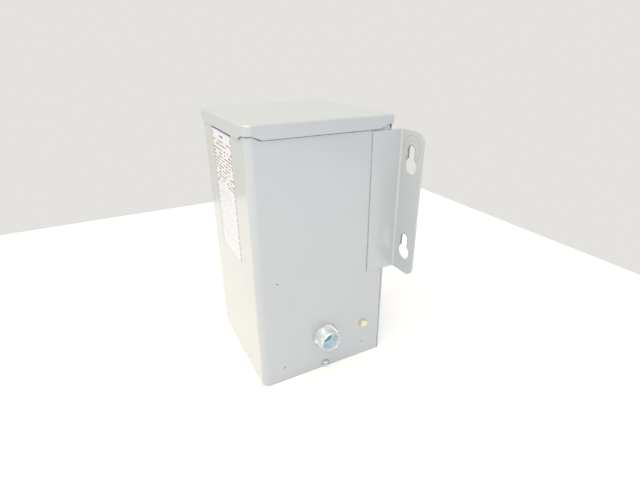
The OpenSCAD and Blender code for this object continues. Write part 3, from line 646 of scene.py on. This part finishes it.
def make_thread_tree():
    """Helical thread ridge about a line along X, from its start to its end."""
    tree, (start, length, radius, pitch, ridge, finish), result = new_geometry_tree("thread ridge", [
        ("Start", "NodeSocketVector", (0, 0, 0)), ("Length", "NodeSocketFloat", 0.01),
        ("Radius", "NodeSocketFloat", 0.01), ("Pitch", "NodeSocketFloat", 0.001),
        ("Ridge", "NodeSocketFloat", 0.0005), ("Finish", "NodeSocketMaterial", None)])
    spiral = put(tree, "GeometryNodeCurveSpiral", {"Resolution": 64, "Start Radius": radius,
        "End Radius": radius, "Height": length, "Rotations": calc(tree, "DIVIDE", length, pitch)})
    laid = put(tree, "GeometryNodeTransform", {"Geometry": spiral.outputs[0],
        "Rotation": (0.0, math.pi / 2, 0.0), "Translation": start})
    profile = put(tree, "GeometryNodeCurvePrimitiveCircle", {"Resolution": 6, "Radius": ridge})
    swept = put(tree, "GeometryNodeCurveToMesh", {"Curve": laid.outputs[0],
        "Profile Curve": profile.outputs[0], "Fill Caps": True})
    smooth = put(tree, "GeometryNodeSetShadeSmooth", {"Geometry": swept.outputs[0]})
    finish_tree(tree, smooth.outputs[0], finish, result)
    return tree


def make_print_tree():
    """Rows of plain bars of printing on an upright face that looks along -Y."""
    tree, given, result = new_geometry_tree("print rows", [
        ("Middle", "NodeSocketVector", (0, 0, 0)), ("Rows", "NodeSocketInt", 8),
        ("Columns", "NodeSocketInt", 6), ("Row Step", "NodeSocketFloat", 0.004),
        ("Column Step", "NodeSocketFloat", 0.01), ("Bar Height", "NodeSocketFloat", 0.001),
        ("Fill", "NodeSocketFloat", 0.8), ("Seed", "NodeSocketInt", 1),
        ("Finish", "NodeSocketMaterial", None)])
    middle, rows, columns, row_step, column_step, bar_height, fill, seed, finish = given
    width = calc(tree, "MULTIPLY", calc(tree, "SUBTRACT", columns, 1), column_step)
    height = calc(tree, "MULTIPLY", calc(tree, "SUBTRACT", rows, 1), row_step)
    grid = put(tree, "GeometryNodeMeshGrid", {"Size X": width, "Size Y": height,
        "Vertices X": columns, "Vertices Y": rows})
    upright = put(tree, "GeometryNodeTransform", {"Geometry": grid.outputs[0],
        "Rotation": (math.pi / 2, 0.0, 0.0), "Translation": middle})
    points = put(tree, "GeometryNodeMeshToPoints", {"Mesh": upright.outputs[0]})
    printed = put(tree, "FunctionNodeRandomValue", {"Probability": fill, "Seed": seed},
        data_type="BOOLEAN")
    share = put(tree, "FunctionNodeRandomValue", {2: 0.45, 3: 0.92, "Seed": seed}, data_type="FLOAT")
    size = put(tree, "ShaderNodeCombineXYZ", {
        "X": calc(tree, "MULTIPLY", share.outputs[1], column_step), "Y": 0.06 * MM, "Z": bar_height})
    bar = put(tree, "GeometryNodeMeshCube", {"Size": (1.0, 1.0, 1.0)})
    bars = put(tree, "GeometryNodeInstanceOnPoints", {"Points": points.outputs[0],
        "Selection": printed.outputs[3], "Instance": bar.outputs[0], "Scale": size.outputs[0]})
    finish_tree(tree, bars.outputs[0], finish, result)
    return tree


THREAD_TREE = make_thread_tree()
PRINT_TREE = make_print_tree()

# Finishes of the pieces that show
WALL_MARKS = [
    # chips in the paint
    mark((CASE_SIDE, -70.5 * MM, 164.0 * MM), 1.5, 0.4, 1.4, 0.9),
    mark((CASE_SIDE, -77.8 * MM, 290.5 * MM), 0.9, 0.4, 0.8, 0.6),
    mark((CASE_SIDE, -12.0 * MM, 290.0 * MM), 0.9, 0.5, 0.8, 0.35),
    # dark spots at the two weld marks: painted shade of small weld dimples
    mark((CASE_SIDE, -WELD_MARK_Y, WELD_MARK_Z), 1.9, 0.8, 2.6, 0.75),
    mark((CASE_SIDE, WELD_MARK_Y, WELD_MARK_Z), 1.9, 0.8, 2.6, 0.75),
    # a faint darker patch above the connector, and painted contact shadow round the connector's hex, the
    # ground screw and the cover screw
    mark((CASE_SIDE, 2 * MM, CONNECTOR_Z + 12 * MM), 17, 9, 7, 0.09),
    mark((CASE_SIDE, 0.0, CONNECTOR_Z), 22.5, 3.5, 2.5, 0.26),
    mark((CASE_SIDE, GROUND_Y, GROUND_Z), 8.2, 2.0, 1.2, 0.32),
    mark((CASE_SIDE, 1 * MM, COVER_SCREW_Z), 8, 3, 2, 0.25)]
PLATE_FACE = CASE_SIDE + BRACKET_SHEET
PLATE_SPOTS = [
    mark((PLATE_FACE, 87 * MM, 193 * MM), 5.0, 3.5, 3, 0.30),
    mark((PLATE_FACE, 97 * MM, 206 * MM), 4.5, 3.5, 3, 0.28),
    mark((PLATE_FACE, 99 * MM, 188 * MM), 4.5, 3.5, 3, 0.28)]
WASHER_CENTRE = (KEYHOLE_X, FLANGE_FRONT, UPPER_SLOT_Z + 2 * MM)
WASHER_PRINT = [
    mark(WASHER_CENTRE, 17.7, 0.6, 1.2, 0.30, inner=16.7),
    mark(WASHER_CENTRE, 12.2, 0.6, 0.9, 0.14, inner=11.2)]

CASE_PAINT = paint_material("case paint", CASE_LOW, (CASE_HIGH[0], CASE_BACK, CASE_HIGH[2]),
    dark_marks=WALL_MARKS, lid_line=True)
PANEL_PAINT = paint_material("back panel paint", PANEL_LOW, PANEL_HIGH, lid_line=True, seam=True)
LID_PAINT = paint_material("lid paint", LID_LOW, LID_HIGH, rub=0.6)
COVER_PAINT = paint_material("cover paint", *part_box("bottom_cover"))
RIGHT_PAINT = paint_material("right bracket paint", BRACKET_LOW, BRACKET_HIGH, dark_marks=WASHER_PRINT,
    pale_marks=PLATE_SPOTS, keyhole_side=1)
LEFT_PAINT = paint_material("left bracket paint", *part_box("bracket_left"), keyhole_side=-1)
BRIGHT_ZINC = plated_material("bright zinc", (0.97, 0.97, 0.94), (0.66, 0.79, 0.88), metallic=0.6)
# near-white, non-metal copy of the zinc for the bore: painted light where the bore is in shade
LIT_BORE_ZINC = plated_material("bore zinc", (0.97, 0.98, 0.98), (0.66, 0.88, 0.98), metallic=0.0)
YELLOW_ZINC = plated_material("yellow zinc", (0.91, 0.88, 0.62), (0.76, 0.73, 0.47), metallic=0.5)
SCREW_ZINC = plated_material("screw zinc", (0.98, 0.98, 0.98), (0.66, 0.70, 0.78), metallic=0.5,
    shade_mask=cover_screw_shade)
LABEL_FILM = label_material()
BLUE_INK = ink_material("blue ink", (0.10, 0.12, 0.36))
BLACK_INK = ink_material("black ink", (0.03, 0.03, 0.045))
PALE_INK = ink_material("pale ink", (0.70, 0.71, 0.76))

# Finish of each material slot, for the CAD nodes
FINISHES = {
    "plain_steel": plain_material("plain steel", (0.42, 0.43, 0.44), 0.38, 1.0),
    "lamination_steel": plain_material("varnished laminations", (0.16, 0.17, 0.19), 0.45, 0.7),
    "enamelled_wire": wire_material("enamelled wire", (0.62, 0.26, 0.11)),
    "insulation_paper": plain_material("insulation paper", (0.66, 0.54, 0.34), 0.8),
    "potting": plain_material("potting resin", (0.022, 0.022, 0.024), 0.6, spread=0.3, scale=300.0),
    "primary_lead": plain_material("black lead", (0.02, 0.02, 0.022), 0.35),
    "secondary_lead": plain_material("red lead", (0.42, 0.03, 0.025), 0.35),
    "zinc_plate": BRIGHT_ZINC,
    "yellow_zinc": YELLOW_ZINC,
    "label_paper": LABEL_FILM,
    "grey_paint": CASE_PAINT,
}


def finish_cad_nodes():
    """Gives every CAD node the finish of its material slot."""
    slots = {part["node"]: part["material_slot"] for part in frame["record"]["subparts"]}
    for name, node in frame["nodes"].items():
        for place in node.material_slots:
            place.material = FINISHES[slots[name]]


def sheet_pieces():
    """Painted sheet-metal pieces with the small radius that paint leaves on a cut edge."""
    for node, name, material, corner_edge in (
            ("case_wrap", "case_shell", CASE_PAINT, None),
            ("back_panel", "back_sheet", PANEL_PAINT, None),
            ("top_lid", "lid_cap", LID_PAINT, SKIRT_EDGE + SKIRT_RISE),
            ("bottom_cover", "bottom_tray", COVER_PAINT, None),
            ("bracket_right", "right_wall_bracket", RIGHT_PAINT, None),
            ("bracket_left", "left_wall_bracket", LEFT_PAINT, None)):
        softened(node, name, material, PAINT_RADIUS, corner_edge=corner_edge)


def threaded(name, material, start, length, radius, pitch, ridge):
    """Thread ridge on a turned piece."""
    thread = grown(THREAD_TREE, name, material, {"Start": start, "Length": length, "Radius": radius,
        "Pitch": pitch, "Ridge": ridge, "Finish": material})
    keep(thread)


def conduit_connector():
    """Hex shoulder, threaded collar, stepped bore and male thread, turned as one piece."""
    wall = CASE_SIDE
    mouth = CONNECTOR_HIGH[0]
    inner_end = CONNECTOR_LOW[0]
    shoulder = wall + 6.5 * MM
    stop = mouth - 16 * MM
    collar, bore, throat, male = 14.85 * MM, 13.6 * MM, 10.4 * MM, 12.55 * MM
    apothem = 17.5 * MM
    corner = apothem / math.cos(math.pi / 6)
    pitch = 1.55 * MM
    rings = [
        (inner_end, throat + 0.4 * MM), (inner_end, male - 0.5 * MM),
        (inner_end + 0.6 * MM, male), (wall, male),
        (wall, corner - 1.2 * MM, apothem), (wall + 0.7 * MM, corner, apothem),
        (shoulder - 1.5 * MM, corner, apothem), (shoulder, apothem - 0.4 * MM, apothem),
        (shoulder, collar + 0.5 * MM), (shoulder + 0.9 * MM, collar - 0.15 * MM),
        (mouth - 1.2 * MM, collar), (mouth - 0.25 * MM, collar - 0.55 * MM),
        (mouth, collar - 0.8 * MM), (mouth, bore + 0.25 * MM),
        (mouth - 0.3 * MM, bore), (stop, bore),
        (stop, throat + 0.8 * MM), (stop - 0.8 * MM, throat), (inner_end + 0.5 * MM, throat)]
    body = turned("connector_turned", rings, (0.0, CONNECTOR_Z), BRIGHT_ZINC, steps=144,
        flats_turn=math.radians(22.0))
    body.data.materials.append(LIT_BORE_ZINC)
    # the bore's inner faces take the lightened copy, as painted light
    for face in body.data.polygons:
        off_axis = math.hypot(face.center[1], face.center[2] - CONNECTOR_Z)
        if face.center[0] < mouth - 0.2 * MM and off_axis < bore + 0.1 * MM:
            face.material_index = 1
    keep(body, "connector_body")
    threaded("collar_thread", BRIGHT_ZINC, (shoulder + 1.6 * MM, 0.0, CONNECTOR_Z),
        mouth - shoulder - 3.4 * MM, collar, pitch, 0.52 * MM)
    threaded("male_thread", BRIGHT_ZINC, (inner_end + 1.0 * MM, 0.0, CONNECTOR_Z),
        wall - inner_end - 6.8 * MM, male, pitch, 0.5 * MM)


def ground_screw():
    """Hex head with chamfered corners and a shallow dish, on a threaded shank."""
    wall = CASE_SIDE
    top = GROUND_HIGH[0]
    tip = GROUND_LOW[0]
    shank = 2.85 * MM
    apothem = 5.55 * MM
    corner = apothem / math.cos(math.pi / 6)
    rings = [
        (tip, 0.0), (tip, shank - 0.7 * MM), (tip + 0.8 * MM, shank), (wall, shank),
        (wall, corner - 0.3 * MM, apothem), (wall + 0.3 * MM, corner, apothem),
        (top - 1.0 * MM, corner, apothem), (top - 0.25 * MM, apothem + 0.1 * MM, apothem),
        (top, apothem - 0.6 * MM), (top - 0.1 * MM, apothem - 1.4 * MM),
        (top - 0.55 * MM, 2.4 * MM), (top - 0.6 * MM, 0.0)]
    screw = turned("ground_screw_turned", rings, (GROUND_Y, GROUND_Z), YELLOW_ZINC,
        flats_turn=math.radians(30.0))
    keep(screw, "ground_screw")
    threaded("ground_thread", YELLOW_ZINC, (tip + 0.8 * MM, GROUND_Y, GROUND_Z),
        1.9 * MM, shank, 0.95 * MM, 0.28 * MM)


def cover_screws():
    """The two slotted screws of the bottom cover, with rolled edges."""
    for side in ("right", "left"):
        softened("cover_screw_" + side, "cover_screw_head_" + side, SCREW_ZINC, 0.22 * MM,
            angle=30.0)


def label_print():
    """Fields of plain bars where the label is printed: a blue heading, dark rows, pale rows."""
    face = LABEL_LOW[1]
    top = LABEL_HIGH[2]
    # name, rows, columns, column step, row step, bar height, middle below the top, ink, fill, seed
    fields = (
        ("print_heading", 2, 9, 8.6, 4.6, 1.7, -19.0, BLUE_INK, 0.8, 3),
        ("print_emblem", 1, 2, 8.0, 5.0, 2.6, -9.5, BLUE_INK, 1.0, 5),
        ("print_rows_upper", 5, 12, 6.8, 4.6, 1.6, -37.0, BLACK_INK, 0.66, 11),
        ("print_rows_lower", 6, 12, 6.8, 4.6, 1.6, -62.5, BLACK_INK, 0.66, 7),
        ("print_pale_rows", 16, 10, 8.2, 4.8, 1.4, -122.0, PALE_INK, 0.5, 13),
    )
    for name, rows, columns, column_step, row_step, bar, middle, ink, fill, seed in fields:
        field = grown(PRINT_TREE, name, ink, {"Middle": (0.0, face, top + middle * MM), "Rows": rows,
            "Columns": columns, "Row Step": row_step * MM, "Column Step": column_step * MM,
            "Bar Height": bar * MM, "Fill": fill, "Seed": seed, "Finish": ink})
        keep(field)


# Surroundings
def floor():
    """Large pale floor, white where the table top was and in the wall's tone past it."""
    mesh = bpy.data.meshes.new("floor")
    reach = FLOOR_REACH
    mesh.from_pydata([(-reach, -reach, 0), (reach, -reach, 0), (reach, reach, 0), (-reach, reach, 0)],
        [], [(0, 1, 2, 3)])
    material, tree, shader, place = new_material("pale floor")
    x, y, z = parts_of(tree, place)
    white = calc(tree, "MULTIPLY", fade(tree, x, TABLE_LEFT - 3 * MM, TABLE_LEFT + 3 * MM),
        fade(tree, y, TABLE_REAR - 3 * MM, TABLE_REAR + 3 * MM, 1.0, 0.0))
    seen = seen_rays(tree)
    lit = mix_colour(tree, white, mix_colour(tree, seen, FAR_FLOOR, BLACK), TABLE_TONE)
    glow = mix_colour(tree, white, WALL_TONE, TABLE_GLOW)
    tree.links.new(lit, shader.inputs["Base Color"])
    tree.links.new(mix_colour(tree, seen, BLACK, glow), shader.inputs["Emission Color"])
    shader.inputs["Emission Strength"].default_value = 1.0
    shader.inputs["Roughness"].default_value = 0.9
    shader.inputs["Specular IOR Level"].default_value = 0.0
    made = link_mesh("floor", mesh, material)
    made.location.z = -0.1 * MM


def world_light():
    """Even, slightly cool light all round; camera and gloss see the wall's tone."""
    world = bpy.data.worlds.new("studio")
    bpy.context.scene.world = world
    world.use_nodes = True
    tree = world.node_tree
    tree.nodes.clear()
    colour = mix_colour(tree, seen_rays(tree), ROOM_LIGHT, WALL_TONE)
    background = put(tree, "ShaderNodeBackground", {"Color": colour, "Strength": 1.0})
    out = tree.nodes.new("ShaderNodeOutputWorld")
    tree.links.new(background.outputs[0], out.inputs["Surface"])


def lamp(name, place, aim, size, energy, colour):
    """Square area lamp at a place, turned towards its aim."""
    light = bpy.data.lights.new(name, "AREA")
    light.size = size
    light.energy = energy
    light.color = colour
    made = bpy.data.objects.new(name, light)
    made.location = place
    made.rotation_euler = (Vector(aim) - Vector(place)).to_track_quat("-Z", "Y").to_euler()
    bpy.context.scene.collection.objects.link(made)


def camera():
    """Camera at the photograph's place, turned by azimuth, elevation and roll."""
    azimuth, elevation, roll = CAMERA_AZIMUTH, CAMERA_ELEVATION, CAMERA_ROLL
    back = Vector((math.sin(azimuth) * math.cos(elevation), -math.cos(azimuth) * math.cos(elevation),
        math.sin(elevation)))
    right = Vector((math.cos(azimuth), math.sin(azimuth), 0.0))
    up = back.cross(right)
    level_right = right * math.cos(roll) + up * math.sin(roll)
    level_up = up * math.cos(roll) - right * math.sin(roll)
    data = bpy.data.cameras.new("photo camera")
    data.sensor_width = 36.0
    data.lens = CAMERA_LENS
    made = bpy.data.objects.new("photo camera", data)
    turn = Matrix((level_right, level_up, back)).transposed()
    made.matrix_world = Matrix.Translation(CAMERA_PLACE) @ turn.to_4x4()
    bpy.context.scene.collection.objects.link(made)
    bpy.context.scene.camera = made


camera()
finish_cad_nodes()
sheet_pieces()
conduit_connector()
ground_screw()
cover_screws()
label_print()
floor()
world_light()
lamp("warm key", place=(0.0, -1.0, 2.4), aim=(0.0, 0.0, 0.2), size=2.4, energy=34.0,
    colour=(1.0, 0.815, 0.45))
lamp("side fill", place=(1.5, -0.9, 1.45), aim=(0.1, 0.0, 0.15), size=1.0, energy=9.3,
    colour=(0.96, 0.97, 1.0))
bpy.context.scene.view_settings.view_transform = "Standard"
